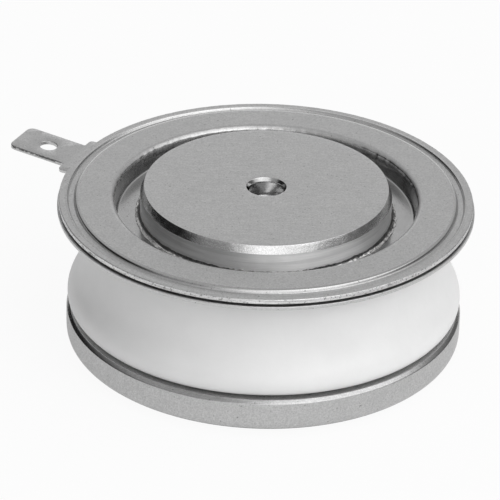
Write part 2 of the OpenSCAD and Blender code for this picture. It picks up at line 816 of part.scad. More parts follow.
cathode_contact();
cathode_braze_bead();
cathode_lid();
weld_flange();
upper_seal_braze();
ceramic_ring();
lower_seal_braze();
anode_ring();
anode_diaphragm();
anode_braze_bead();
anode_contact();
molybdenum_disc();
silicon_wafer();
wafer_edge_rubber();
molybdenum_washer();
locating_ring();
gate_pin();
gate_spring();
gate_bush();
gate_lead();
gate_lead_sleeve();
gate_tube();
gate_tube_braze();
gate_terminal();
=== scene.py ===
# Looks of the disc thyristor: plated metal, glazed ceramic, brazed joints, a white table and soft light
import math

import bmesh
import bpy
from mathutils import Matrix, Vector, noise


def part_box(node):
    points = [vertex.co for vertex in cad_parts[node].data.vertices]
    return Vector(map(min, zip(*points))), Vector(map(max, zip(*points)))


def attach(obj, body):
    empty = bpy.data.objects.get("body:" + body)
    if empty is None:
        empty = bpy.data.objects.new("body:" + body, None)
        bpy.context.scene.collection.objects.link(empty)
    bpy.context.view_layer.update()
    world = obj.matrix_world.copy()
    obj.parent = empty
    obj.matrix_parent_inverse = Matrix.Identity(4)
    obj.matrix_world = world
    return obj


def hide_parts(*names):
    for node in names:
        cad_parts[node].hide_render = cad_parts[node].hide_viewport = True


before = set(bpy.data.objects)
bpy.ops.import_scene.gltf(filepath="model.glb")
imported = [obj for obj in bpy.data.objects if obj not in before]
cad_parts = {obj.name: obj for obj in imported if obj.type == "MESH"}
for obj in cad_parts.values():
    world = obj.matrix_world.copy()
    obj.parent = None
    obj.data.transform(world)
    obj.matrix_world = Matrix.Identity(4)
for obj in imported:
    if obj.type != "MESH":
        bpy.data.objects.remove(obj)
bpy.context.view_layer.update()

# A millimetre in metres
MM = 0.001
# Outlines are cut at this azimuth, which passes between the corners of the frame's round meshes
SECTION_AZIMUTH = math.radians(0.37)
# Points nearer than this are one point
SAME_POINT = 1e-7
# A point no further than this from the line past it is dropped
STRAIGHT = 0.004 * MM
# An outline that turns by more than this has a corner there
SHARP_TURN = math.radians(20)
# The share of a stretch that the rounding of a corner may use up
CORNER_SHARE = 0.45
# What lies no further than this outside a hole's radius belongs to its wall
NEAR_WALL = 0.01 * MM


# Outlines taken from the frame

def cut_points(node, azimuth):
    """Loops of (r, z) where the plane at that azimuth cuts a node. Each starts where r is least."""
    mesh = bmesh.new()
    mesh.from_mesh(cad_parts[node].data)
    bmesh.ops.remove_doubles(mesh, verts=mesh.verts, dist=SAME_POINT)
    along = Vector((math.cos(azimuth), math.sin(azimuth), 0))
    across = Vector((-along.y, along.x, 0))
    bmesh.ops.bisect_plane(mesh, geom=mesh.verts[:] + mesh.edges[:] + mesh.faces[:], dist=SAME_POINT / 10,
                           plane_co=(0, 0, 0), plane_no=across, clear_inner=True, clear_outer=True)

    def place(vert):
        return vert.co.dot(along), vert.co.z
    # A set has no fixed order, so the places say where a loop starts and which way it goes
    loops = []
    left = set(mesh.verts)
    while left:
        loop = []
        ahead = [min(left, key=place)]
        while ahead:
            vert = min(ahead, key=place)
            left.discard(vert)
            loop.append(vert)
            ahead = [e.other_vert(vert) for e in vert.link_edges if e.other_vert(vert) in left]
        loops.append([place(v) for v in loop])
    mesh.free()
    return [loop for loop in loops if len(loop) > 2]


def half(loop):
    """The part of a loop at r >= 0, closed along the axis."""
    kept = []
    for (r0, z0), (r1, z1) in zip(loop, loop[1:] + loop[:1]):
        if r0 >= 0:
            kept.append((r0, z0))
        if (r0 < 0) != (r1 < 0):
            share = r0 / (r0 - r1)
            kept.append((0.0, z0 + (z1 - z0) * share))
    return kept


def straightened(loop):
    """The loop without the points that lie on a straight stretch."""
    points = list(loop)
    changed = True
    while changed:
        changed = False
        for i in range(len(points)):
            a, p, b = (Vector(points[(i + k) % len(points)]) for k in (-1, 0, 1))
            span = b - a
            if span.length < SAME_POINT:
                continue
            off = abs(span.cross(p - a)) / span.length
            if off < STRAIGHT:
                points.pop(i)
                changed = True
                break
    return points


def section(node):
    """A revolved node's outline, as ordered (r, z) points."""
    loops = cut_points(node, SECTION_AZIMUTH)
    outer = max(loops, key=lambda loop: max(r for r, z in loop))
    return straightened(half(outer))


def turn_at(points, i):
    """How far the outline turns at a point."""
    p = Vector(points[i])
    ahead = Vector(points[(i + 1) % len(points)]) - p
    behind = p - Vector(points[i - 1])
    return behind.angle(ahead, 0.0)


def rounded(outline, radius, steps=4):
    """The outline with each sharp corner off the axis turned into a small arc."""
    out = []
    for i, point in enumerate(outline):
        p = Vector(point)
        to_last = Vector(outline[i - 1]) - p
        to_next = Vector(outline[(i + 1) % len(outline)]) - p
        turn = turn_at(outline, i)
        if turn < SHARP_TURN or p.x < SAME_POINT:
            out.append(tuple(p))
            continue
        reach = min(radius * math.tan(turn / 2), CORNER_SHARE * to_last.length, CORNER_SHARE * to_next.length)
        start = p + to_last.normalized() * reach
        end = p + to_next.normalized() * reach
        for k in range(steps + 1):
            t = k / steps
            out.append(tuple(start * (1 - t) ** 2 + p * 2 * t * (1 - t) + end * t ** 2))
    return out


def divided(outline, step):
    """The outline with its long stretches split. step(r, z) gives the longest stretch allowed there."""
    out = []
    for (r0, z0), (r1, z1) in zip(outline, outline[1:] + outline[:1]):
        length = math.hypot(r1 - r0, z1 - z0)
        allowed = min(step(r0, z0), step(r1, z1), step((r0 + r1) / 2, (z0 + z1) / 2))
        parts = max(1, math.ceil(length / allowed))
        if r0 < SAME_POINT and r1 < SAME_POINT:
            parts = 1
        for k in range(parts):
            out.append((r0 + (r1 - r0) * k / parts, z0 + (z1 - z0) * k / parts))
    return out


def eased(outline, passes, sharp=SHARP_TURN):
    """The outline with the facets of its long curves smoothed away, and its corners kept."""
    points = [Vector(p) for p in outline]
    held = [turn_at(points, i) > sharp or p.x < SAME_POINT for i, p in enumerate(points)]
    for _ in range(passes):
        points = [p if held[i] else (points[i - 1] + p * 2 + points[(i + 1) % len(points)]) / 4
                  for i, p in enumerate(points)]
    return [tuple(p) for p in points]


# Meshes

def link(name, data):
    piece = bpy.data.objects.new(name, data)
    bpy.context.scene.collection.objects.link(piece)
    return piece


def to_object(name, mesh):
    """A closed bmesh as a smooth-shaded object."""
    bmesh.ops.recalc_face_normals(mesh, faces=mesh.faces)
    data = bpy.data.meshes.new(name)
    mesh.to_mesh(data)
    mesh.free()
    data.shade_smooth()
    return link(name, data)


def as_piece(piece, node):
    """Shows the object in place of a CAD node."""
    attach(piece, "root")
    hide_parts(node)
    return piece


def turned(outline, turns, wander=None):
    """The outline turned round the axis. wander(r, z, angle) gives a small shift (dr, dz)."""
    mesh = bmesh.new()
    rings = []
    for r, z in outline:
        if r < SAME_POINT:
            rings.append([mesh.verts.new((0, 0, z))])
            continue
        ring = []
        for k in range(turns):
            angle = math.tau * k / turns
            dr, dz = wander(r, z, angle) if wander else (0, 0)
            ring.append(mesh.verts.new(((r + dr) * math.cos(angle), (r + dr) * math.sin(angle), z + dz)))
        rings.append(ring)
    for low, high in zip(rings, rings[1:] + rings[:1]):
        if len(low) == 1 and len(high) == 1:
            continue
        for k in range(turns):
            a, b = low[k % len(low)], low[(k + 1) % len(low)]
            c, d = high[(k + 1) % len(high)], high[k % len(high)]
            corners = list(dict.fromkeys((a, b, c, d)))
            mesh.faces.new(corners)
    return mesh


def add_modifier(piece, kind, **settings):
    modifier = piece.modifiers.new(kind.lower(), kind)
    for key, value in settings.items():
        setattr(modifier, key, value)
    return modifier


def apply_modifiers(piece):
    """Puts the shape that the modifiers give into the object's own mesh."""
    bpy.context.view_layer.update()
    shaped = piece.evaluated_get(bpy.context.evaluated_depsgraph_get())
    data = bpy.data.meshes.new_from_object(shaped)
    piece.modifiers.clear()
    piece.data = data


def combine(piece, other, operation):
    """Cuts the other object away from the piece, or joins it on, and removes the other."""
    add_modifier(piece, "BOOLEAN", object=other, operation=operation, solver="EXACT")
    apply_modifiers(piece)
    bpy.data.objects.remove(other)


def even_normals(piece):
    """Normals weighted by face area, so that flat stretches shade flat up to their rounded edges."""
    add_modifier(piece, "WEIGHTED_NORMAL", mode="FACE_AREA", weight=50, keep_sharp=True)


def wobble(x, y, z, seed):
    """Smooth noise from about -1 to 1 at a place given in the noise's own units."""
    return noise.noise(Vector((x + seed, y - seed, z + 0.37 * seed)))


def round_wobble(angle, radius, size, seed, height=0.0):
    """Noise that closes on itself round the axis, with features about size across."""
    reach = radius / size
    return wobble(math.cos(angle) * reach, math.sin(angle) * reach, height / size, seed)


def round_dent(angle, radius, size, seed, height=0.0):
    """The same noise, from about 0 to 1."""
    return 0.5 + 0.5 * round_wobble(angle, radius, size, seed, height)


def smooth_step(value, low, high):
    """0 up to low, 1 from high on, and a smooth rise between them."""
    t = min(max((value - low) / (high - low), 0.0), 1.0)
    return t * t * (3 - 2 * t)


# Materials

# Most of the noise lies between these values
NOISE_LOW = 0.3
NOISE_HIGH = 0.7
# What a radian round the axis counts for in noise that follows a lathe's tool marks
LATHE_ROUND = 0.4 * MM


class Nodes:
    """A node tree in the making."""

    def __init__(self, tree):
        self.tree = tree

    def add(self, kind, inputs=None, **settings):
        node = self.tree.nodes.new(kind)
        for key, value in settings.items():
            setattr(node, key, value)
        for key, value in (inputs or {}).items():
            self.feed(node.inputs[key], value)
        return node

    def feed(self, socket, value):
        if isinstance(value, bpy.types.NodeSocket):
            self.tree.links.new(value, socket)
        else:
            socket.default_value = value

    def math(self, operation, a, b=0.0):
        return self.add("ShaderNodeMath", {0: a, 1: b}, operation=operation).outputs[0]


class Finish(Nodes):
    """A material in the making. Most calls add one node and return its output."""

    def __init__(self, name, **uniform):
        self.material = bpy.data.materials.new(name)
        self.material.use_nodes = True
        super().__init__(self.material.node_tree)
        self.shader = self.tree.nodes["Principled BSDF"]
        self.place = self.add("ShaderNodeTexCoord").outputs["Object"]
        for key, value in uniform.items():
            self.shader.inputs[key.replace("_", " ")].default_value = value

    def noise(self, size, detail=2.0, roughness=0.5, vector=None):
        """Noise from 0 to 1 with features about size metres across."""
        node = self.add("ShaderNodeTexNoise", {
            "Vector": vector or self.place, "Scale": 1 / size, "Detail": detail, "Roughness": roughness})
        return node.outputs["Fac"]

    def span(self, value, low, high, to_low=0.0, to_high=1.0):
        """value's range from low to high, mapped to the other range and held there."""
        node = self.add("ShaderNodeMapRange", {
            "Value": value, "From Min": low, "From Max": high, "To Min": to_low, "To Max": to_high})
        return node.outputs["Result"]

    def spread(self, value, to_low=0.0, to_high=1.0):
        """Noise over the range where most of it lies, mapped to the other range."""
        return self.span(value, NOISE_LOW, NOISE_HIGH, to_low, to_high)

    def mix(self, share, a, b):
        """Colour a where share is 0, b where it is 1."""
        node = self.add("ShaderNodeMix", {0: share, 6: a, 7: b}, data_type="RGBA")
        return node.outputs[2]

    def bump(self, height, depth, under=None):
        """A normal bent by the height, on top of the normal given as under."""
        inputs = {"Height": height, "Distance": depth, "Strength": 1.0}
        if under:
            inputs["Normal"] = under
        return self.add("ShaderNodeBump", inputs).outputs["Normal"]

    def stretched(self, x, y, z):
        """The shaded point with each axis scaled, for streaks."""
        node = self.add("ShaderNodeVectorMath", {0: self.place, 1: (x, y, z)}, operation="MULTIPLY")
        return node.outputs[0]

    def lathe(self):
        """A place that changes fast with radius and height and slowly round the axis."""
        parts = self.add("ShaderNodeSeparateXYZ", {"Vector": self.place}).outputs
        squares = [self.math("POWER", parts[k], 2.0) for k in (0, 1)]
        radius = self.math("SQRT", self.math("ADD", *squares))
        angle = self.math("MULTIPLY", self.math("ARCTAN2", parts[1], parts[0]), LATHE_ROUND)
        return self.add("ShaderNodeCombineXYZ", {0: radius, 1: angle, 2: parts[2]}).outputs["Vector"]

    def paint(self, colour, roughness, normal):
        """Feeds the shader and returns the finished material."""
        for name, value in (("Base Color", colour), ("Roughness", roughness), ("Normal", normal)):
            self.feed(self.shader.inputs[name], value)
        return self.material


def grey(value, warm=0.0):
    """A grey, leaning to red where warm is more than 0."""
    return (value * (1 + warm), value, value * (1 - warm), 1)


def satin_nickel(name, light=0.66, rough=0.38, grain=1.0, streaks=0.0):
    """Matt nickel plate: fine sandy grain, faint clouds and a few small dark pits."""
    f = Finish(name, Metallic=1.0)
    fine = f.noise(0.16 * MM, detail=3, roughness=0.7)
    coarse = f.noise(0.45 * MM, detail=2)
    cloud = f.noise(2.2 * MM, detail=4)
    pits = f.noise(0.22 * MM, detail=1, roughness=0.3)
    shade = f.mix(f.spread(cloud), grey(light * 0.97), grey(light * 1.02, 0.002))
    shade = f.mix(f.spread(coarse, 0, 0.12 * grain), shade, grey(light * 0.55))
    shade = f.mix(f.span(fine, 0.36, 0.64, 0, 0.42 * grain), shade, grey(light * 0.52))
    if streaks:
        brushed = f.noise(0.14 * MM, detail=2, vector=f.stretched(0.12, 1, 1))
        shade = f.mix(f.span(brushed, 0.35, 0.7, 0, streaks), shade, grey(light * 0.6))
    shade = f.mix(f.span(pits, 0.73, 0.78, 0, 0.7), shade, grey(light * 0.25))
    roughness = f.spread(fine, rough - 0.05, rough + 0.08)
    normal = f.bump(fine, 0.010 * MM * grain)
    normal = f.bump(cloud, 0.012 * MM, normal)
    return f.paint(shade, roughness, normal)


def turned_nickel(name, light=0.96, rough=0.5, ring_depth=0.014):
    """Nickel plate over a lathe finish: fine rings round the axis, with a few deeper ones."""
    f = Finish(name, Metallic=1.0, Anisotropic=0.96, Anisotropic_Rotation=0.25)
    tangent = f.add("ShaderNodeTangent", direction_type="RADIAL", axis="Z").outputs[0]
    f.feed(f.shader.inputs["Tangent"], tangent)
    rings = f.lathe()
    fine = f.noise(0.06 * MM, detail=2, vector=rings)
    wide = f.noise(0.42 * MM, detail=2, vector=rings)
    fog = f.noise(1.2 * MM, detail=3)
    grain = f.noise(0.11 * MM, detail=2)
    shade = f.mix(f.spread(fine), grey(light * 0.93), grey(light * 1.03))
    shade = f.mix(f.span(wide, 0.46, 0.6, 0, 0.4), shade, grey(light * 0.62))
    shade = f.mix(f.span(fog, 0.35, 0.7, 0, 0.2), shade, grey(light * 0.8))
    roughness = f.spread(fog, rough - 0.04, rough + 0.08)
    normal = f.bump(fine, ring_depth * MM)
    normal = f.bump(wide, 0.04 * MM, normal)
    normal = f.bump(grain, 0.003 * MM, normal)
    return f.paint(shade, roughness, normal)


def dressed_bevel(name, light=0.74, rough=0.13, tooth_depth=0.012, wave_depth=0.02):
    """A bevel cut bright, with a sandy tooth that scatters what it mirrors."""
    f = Finish(name, Metallic=1.0)
    tooth = f.noise(0.13 * MM, detail=2, roughness=0.6)
    broad = f.noise(0.8 * MM, detail=2)
    shade = f.mix(f.span(tooth, 0.35, 0.65), grey(light * 0.85), grey(light * 1.05))
    normal = f.bump(tooth, tooth_depth * MM)
    normal = f.bump(broad, wave_depth * MM, normal)
    return f.paint(shade, f.spread(broad, rough - 0.04, rough + 0.08), normal)


def dark_specked(name, light=0.22, rough=0.5):
    """Torn metal, and the crease at a braze bead's foot: bright specks on a colour painted dark, a painted
    dark reflection on the torn edge and painted shade in the crease.
    """
    f = Finish(name, Metallic=1.0)
    torn = f.noise(0.2 * MM, detail=3, roughness=0.7)
    shade = f.mix(f.span(torn, 0.48, 0.68), grey(light * 0.75), grey(light * 1.9))
    return f.paint(shade, f.spread(torn, rough - 0.1, rough + 0.1), f.bump(torn, 0.03 * MM))


def cut_edge(name, light=0.78, rough=0.28):
    """A sheet's cut edge: fine bright and dark lines along it, with a few torn places."""
    f = Finish(name, Metallic=1.0)
    lines = f.noise(0.07 * MM, detail=2, vector=f.lathe())
    torn = f.noise(0.3 * MM, detail=2, roughness=0.6)
    shade = f.mix(f.span(lines, 0.38, 0.6), grey(light * 0.7), grey(light * 1.1))
    shade = f.mix(f.span(torn, 0.57, 0.65, 0, 0.65), shade, grey(light * 0.25))
    normal = f.bump(lines, 0.015 * MM)
    normal = f.bump(torn, 0.012 * MM, normal)
    return f.paint(shade, f.spread(torn, rough - 0.05, rough + 0.15), normal)


def braze_alloy(name, light=0.66):
    """Silver braze as it froze: bright and flowing, lumpy in places, with dark patches on the lumps that are
    partly flux and partly painted shade.
    """
    f = Finish(name, Metallic=1.0)
    lumps = f.noise(0.42 * MM, detail=2, roughness=0.5)
    runs = f.noise(0.13 * MM, detail=2, vector=f.lathe())
    patchy = f.span(f.noise(2.5 * MM, detail=1), 0.4, 0.6, 0.3, 1.0)
    # Darkening on the lumps: partly flux, partly painted shade
    flux_and_shade = f.math("MULTIPLY", f.span(lumps, 0.5, 0.6, 0, 0.85), patchy)
    shade = f.mix(flux_and_shade, grey(light * 1.2, 0.01), grey(light * 0.2, 0.01))
    shade = f.mix(f.span(runs, 0.4, 0.6, 0, 0.6), shade, grey(light * 0.3))
    normal = f.bump(f.math("MULTIPLY", lumps, patchy), 0.11 * MM)
    normal = f.bump(runs, 0.04 * MM, normal)
    return f.paint(shade, f.spread(lumps, 0.24, 0.1), normal)


def glazed_alumina(name):
    """White glazed ceramic: a soft even white with a faint orange-peel gloss."""
    f = Finish(name, Coat_Weight=0.5, Coat_Roughness=0.25, Specular_IOR_Level=0.5)
    cloud = f.noise(3.5 * MM, detail=3)
    specks = f.noise(0.12 * MM, detail=1)
    peel = f.noise(0.8 * MM, detail=2)
    shade = f.mix(f.spread(cloud), grey(0.835), grey(0.865))
    shade = f.mix(f.span(specks, 0.82, 0.86, 0, 0.4), shade, grey(0.6))
    normal = f.bump(peel, 0.012 * MM)
    return f.paint(shade, f.spread(cloud, 0.32, 0.42), normal)


def plain_metal(name, light, rough, warm=0.0):
    """Metal of the inner pieces, drawn or lapped, with a fine grain."""
    f = Finish(name, Metallic=1.0)
    fine = f.noise(0.08 * MM, detail=3)
    cloud = f.noise(1.5 * MM, detail=3)
    shade = f.mix(f.spread(cloud), grey(light * 0.88, warm), grey(light * 1.08, warm))
    return f.paint(shade, f.spread(fine, rough - 0.06, rough + 0.08), f.bump(fine, 0.008 * MM))


def moulded(name, colour, rough):
    """Plastic or rubber: a soft mottle and a fine skin."""
    f = Finish(name)
    skin = f.noise(0.15 * MM, detail=2)
    cloud = f.noise(1.8 * MM, detail=3)
    darker = tuple(c * 0.9 for c in colour) + (1,)
    shade = f.mix(f.spread(cloud), darker, colour + (1,))
    return f.paint(shade, f.spread(skin, rough - 0.08, rough + 0.08), f.bump(skin, 0.01 * MM))


def radius_of(face):
    return math.hypot(face.center.x, face.center.y)


def outward_of(face):
    """How far a face looks away from the axis, from -1 to 1."""
    n, c = face.normal, face.center
    return (n.x * c.x + n.y * c.y) / max(radius_of(face), SAME_POINT)


def dress(piece, materials, choose=None):
    """Gives each face the material that choose(face) returns, or else the first."""
    for material in materials:
        piece.data.materials.append(material)
    if choose:
        for face in piece.data.polygons:
            face.material_index = materials.index(choose(face))


SATIN = satin_nickel("satin_nickel")
PRESSED = satin_nickel("pressed_nickel", light=0.62, rough=0.16, grain=0.6)
LAPPED = satin_nickel("lapped_nickel", light=0.72, grain=1.15, streaks=0.3)
TURNED = turned_nickel("turned_nickel")
BEVEL = dressed_bevel("dressed_bevel")
DRILLED = dressed_bevel("drilled_hole", light=0.6, rough=0.12, tooth_depth=0.003, wave_depth=0.005)
# Painted dark reflection on the blade's torn front edge
TORN_EDGE_PAINTED_DARK = dark_specked("sheared_edge_painted_dark")
CUT_RIM = cut_edge("cut_rim")
# Painted shade on the channel's steep outer wall
CHANNEL_WALL_SHADE = satin_nickel("channel_wall_painted_shade", light=0.45, rough=0.14, grain=0.6)
# Painted pale reflection on the flange lip's edge and the blade hole's wall
FLANGE_EDGE_PAINTED_LIGHT = satin_nickel("lip_edge_painted_light", light=0.7, rough=0.4, grain=0.8)
# Painted shade on the weld groove's steep walls
GROOVE_WALL_SHADE = satin_nickel("groove_wall_painted_shade", light=0.36, rough=0.22, grain=0.6)
RING_SATIN = satin_nickel("ring_nickel", light=0.67, rough=0.42, grain=1.2)
RING_CHAMFER = satin_nickel("cut_chamfer", light=0.56, rough=0.18, grain=0.8, streaks=0.5)
# Painted shade on the anode ring's downward-facing foot
RING_FOOT_SHADE = satin_nickel("ring_foot_painted_shade", light=0.3, rough=0.35)
BRAZE = braze_alloy("braze_alloy")
# Painted shade for the crease between the braze bead and the pole
BEAD_CREASE_SHADE = dark_specked("bead_crease_painted_shade", light=0.16, rough=0.4)
GLAZE = glazed_alumina("glazed_alumina")


# The lid, with the softened edges of its weld groove and a seam round its rim

LID_TURNS = 520
LID_CORNER_R = 0.1 * MM
LID_CORNER_STEPS = 3
ANNULUS_Z = 15.9 * MM
# Long steps do outside this radius below the annulus, and under the channel's floor
LID_STRAIGHT_R = 13.0 * MM
UNDERSIDE_Z = 15.45 * MM
CHANNEL_UNDERSIDE_Z = 13.6 * MM
# The longest stretches of the outline
RIM_EDGE_STEP = 0.06 * MM
GROOVE_STEP = 0.075 * MM
CHANNEL_LIP_STEP = 0.14 * MM
LID_STEP = 0.6 * MM
LID_STRAIGHT_STEP = 1.0 * MM
# The channel's outer wall, and the lip where it bends into the annulus
CHANNEL_LIP = (14.85 * MM, 15.75 * MM)
CHANNEL_LIP_Z = 15.2 * MM
CHANNEL_WALL_TOP_Z = 15.35 * MM
CHANNEL_WALL_OUTWARD = -0.7
LIP_SATIN_H = 0.2 * MM
# Depth, size and seed of the lip's unevenness, which grows inwards from the annulus and round to the far side
LIP_WAVES = ((0.045 * MM, 0.7 * MM, 5.7), (0.028 * MM, 0.25 * MM, 6.9))
LIP_WAVES_GROW = 0.4 * MM
LIP_WAVES_SIDE = (-0.4, 0.1)
# The annulus is slightly wavy, down to this far below its height
ANNULUS_WAVE = 0.008 * MM
ANNULUS_WAVE_SIZE = 4 * MM
ANNULUS_WAVE_BAND = 0.05 * MM
# The weld groove: above this height the annulus rolls off to it, and the rim rises in a low crown beside it
GROOVE_R = (18.6 * MM, 19.8 * MM)
GROOVE_FORM_Z = 15.7 * MM
GROOVE_BRIGHT_Z = GROOVE_FORM_Z - 0.03 * MM
GROOVE_WALL_STEEP = 0.93
ROLL_START = 18.7 * MM
ROLL_FULL = 19.0 * MM
ROLL_END = 19.1 * MM
ROLL_DROP = 0.035 * MM
CROWN_R = 19.8 * MM
CROWN_W = 0.08 * MM
CROWN_H = 0.035 * MM
# The rim's cut edge, rough, with a seam round the middle of it
RIM_EDGE_R = 20.4 * MM
RIM_EDGE_UP = 0.8
RIM_ROUGHNESS = 0.04 * MM
RIM_ROUGH_SIZE = 0.4 * MM
SEAM_Z = 15.5 * MM
SEAM_H = 0.035 * MM
SEAM_DEPTH = 0.05 * MM
SEAM_WAVE_SIZE = 1.5 * MM


def lid_step(r, z):
    """Short steps where fine forms show, long ones underneath and on the channel's straight wall."""
    if r > RIM_EDGE_R:
        return RIM_EDGE_STEP
    if z < CHANNEL_UNDERSIDE_Z or (z < UNDERSIDE_Z and r > LID_STRAIGHT_R):
        return LID_STRAIGHT_STEP
    if r > GROOVE_R[0]:
        return GROOVE_STEP
    if CHANNEL_LIP[0] < r < CHANNEL_LIP[1]:
        return CHANNEL_LIP_STEP
    return LID_STEP


def groove_rise(r, z):
    """How far the groove's roll and crown lift the lid's upper face."""
    rise = 0.0
    if z > GROOVE_FORM_Z and ROLL_START < r < ROLL_END:
        above = min((z - GROOVE_FORM_Z) / (ANNULUS_Z - GROOVE_FORM_Z), 1.0)
        rise -= ROLL_DROP * above * smooth_step(r, ROLL_START, ROLL_FULL)
    if z > GROOVE_FORM_Z and abs(r - CROWN_R) < 3 * CROWN_W:
        rise += CROWN_H * math.exp(-((r - CROWN_R) / CROWN_W) ** 2)
    return rise


def rim_edge_shift(r, z, angle):
    """How far out the rim's cut edge lies, always a little less than the outline says."""
    rough = RIM_ROUGHNESS * round_dent(angle, r, RIM_ROUGH_SIZE, seed=3.1, height=z)
    seam = SEAM_DEPTH * math.exp(-((z - SEAM_Z) / SEAM_H) ** 2)
    return -rough - seam * (0.75 + 0.5 * round_wobble(angle, r, SEAM_WAVE_SIZE, seed=8.3))


def channel_lip_shift(r, angle):
    """How far out the channel's lip lies, more or less than the outline says."""
    share = smooth_step(CHANNEL_LIP[1] - r, 0, LIP_WAVES_GROW) * smooth_step(math.sin(angle), *LIP_WAVES_SIDE)
    return sum(depth * share * round_wobble(angle, r, size, seed) for depth, size, seed in LIP_WAVES)


def lid_wander(r, z, angle):
    out, rise = 0.0, groove_rise(r, z)
    if r > RIM_EDGE_R:
        out = rim_edge_shift(r, z, angle)
    if CHANNEL_LIP[0] < r < CHANNEL_LIP[1] and z > CHANNEL_LIP_Z:
        out = channel_lip_shift(r, angle)
    if z > ANNULUS_Z - ANNULUS_WAVE_BAND:
        rise -= ANNULUS_WAVE * round_dent(angle, r, ANNULUS_WAVE_SIZE, seed=1.3)
    return out, rise


def lid_material(face):
    """Glossy pressed metal in groove and channel, painted shade on their steep walls, cut metal round the
    rim, satin elsewhere.
    """
    r, z, outward = radius_of(face), face.center.z, outward_of(face)
    in_groove = GROOVE_R[0] < r < GROOVE_R[1] and z > GROOVE_BRIGHT_Z
    in_channel = r < CHANNEL_LIP[1] and z < ANNULUS_Z - LIP_SATIN_H
    if in_groove and abs(outward) > GROOVE_WALL_STEEP:
        return GROOVE_WALL_SHADE
    if in_channel and z < CHANNEL_WALL_TOP_Z and outward < CHANNEL_WALL_OUTWARD:
        return CHANNEL_WALL_SHADE
    if in_channel or in_groove:
        return PRESSED
    return CUT_RIM if r > RIM_EDGE_R and face.normal.z < RIM_EDGE_UP else SATIN


def make_lid():
    outline = divided(rounded(section("cathode_lid"), LID_CORNER_R, LID_CORNER_STEPS), lid_step)
    lid = to_object("lid", turned(outline, LID_TURNS, lid_wander))
    dress(lid, [SATIN, PRESSED, CUT_RIM, GROOVE_WALL_SHADE, CHANNEL_WALL_SHADE], lid_material)
    even_normals(lid)
    as_piece(lid, "cathode_lid")


# The weld flange, with its shoulder and blade in one sheet

FLANGE_TURNS = 640
FLANGE_R = 20.75 * MM
SHEET_T = 0.4 * MM
LIP_TOP_Z = 15.05 * MM
EDGE_R = 0.05 * MM
# Outside this radius the flange shows and takes short steps, and outside the next its edge is rough
FLANGE_SHOWS_R = 19.6 * MM
FLANGE_ROUGH_R = 20.5 * MM
FLANGE_FINE_STEP = 0.08 * MM
FLANGE_STEP = 0.6 * MM
FLANGE_ROUGHNESS = 0.02 * MM
FLANGE_ROUGH_SIZE = 0.6 * MM
# A face belongs to the lip's edge where its normal rises less than this
EDGE_UP = 0.9
# The blade's azimuth, and that of its front edge
BLADE_AZIMUTH = math.radians(154)
FRONT_AZIMUTH = BLADE_AZIMUTH + math.pi / 2
SHOULDER_W = 6.9 * MM
SHOULDER_OUT = 1.0 * MM
SHOULDER_CORNER = 0.4 * MM
BLADE_W = 4.5 * MM
BLADE_REACH = 7.4 * MM
BLADE_CORNER = 0.75 * MM
BLADE_FILLET = 0.12 * MM
BLADE_BEND = math.radians(4.5)
BEND_LENGTH = 0.5 * MM
BEND_START = FLANGE_R + SHOULDER_OUT - BEND_LENGTH / 2
BEND_CUTS = 6
HOLE_R = 0.9 * MM
HOLE_AT = 4.0 * MM
HOLE_STEPS = 48
# The tab starts inside the flange, and lies a hair below the top of its lip
TAB_ROOT_R = 20.3 * MM
TAB_SUNK = 0.003 * MM
TAB_STEP = 0.12 * MM
# The torn front edge of the blade: where it starts and is full, along the blade and across it
BURR_ALONG = (FLANGE_R + 1.2 * MM, FLANGE_R + 2.4 * MM)
BURR_ACROSS = (BLADE_W / 2 - 0.1 * MM, BLADE_W / 2 - 0.01 * MM)
BURR_SIZE = 0.22 * MM
BURR_DEPTH = 0.05 * MM
BURR_ROUNDING = 1.2
BURR_LOW_SHARE = 0.35
TORN_FORWARD = 0.25
TORN_UP = (0.08, 0.97)


def arc(centre, radius, start, end, steps):
    """Points of an arc, its angles in degrees."""
    out = []
    for k in range(steps + 1):
        angle = math.radians(start + (end - start) * k / steps)
        out.append((centre[0] + radius * math.cos(angle), centre[1] + radius * math.sin(angle)))
    return out


def tab_plan():
    """The tab's outline, laid flat, anticlockwise from the root's near corner."""
    bend = FLANGE_R + SHOULDER_OUT
    tip = FLANGE_R + BLADE_REACH
    side, blade = SHOULDER_W / 2, BLADE_W / 2
    lower = [(TAB_ROOT_R, -side)]
    lower += arc((bend - SHOULDER_CORNER, SHOULDER_CORNER - side), SHOULDER_CORNER, 270, 360, steps=8)
    lower += arc((bend + BLADE_FILLET, -blade - BLADE_FILLET), BLADE_FILLET, 180, 90, steps=4)
    lower += arc((tip - BLADE_CORNER, BLADE_CORNER - blade), BLADE_CORNER, 270, 360, steps=12)
    upper = [(x, -y) for x, y in reversed(lower)]
    return lower + upper


def spaced(loop, step):
    """A closed plan with its long stretches split."""
    out = []
    for (x0, y0), (x1, y1) in zip(loop, loop[1:] + loop[:1]):
        parts = max(1, round(math.hypot(x1 - x0, y1 - y0) / step))
        out += [(x0 + (x1 - x0) * k / parts, y0 + (y1 - y0) * k / parts) for k in range(parts)]
    return out


def inset(loop, by):
    """A closed plan with each point moved square to the outline, inwards where by(x, y) is more than 0."""
    out = []
    for i, (x, y) in enumerate(loop):
        ahead = Vector(loop[(i + 1) % len(loop)]) - Vector(loop[i - 1])
        inward = Vector((-ahead.y, ahead.x)).normalized() * by(x, y)
        out.append((x + inward.x, y + inward.y))
    return out


def burr(x, y):
    """How far the sheared front edge of the blade is torn in, from 0 to 1."""
    share = smooth_step(x, *BURR_ALONG) * smooth_step(y, *BURR_ACROSS)
    return share * (0.5 + 0.5 * wobble(x / BURR_SIZE, 0, 0, seed=4.4))


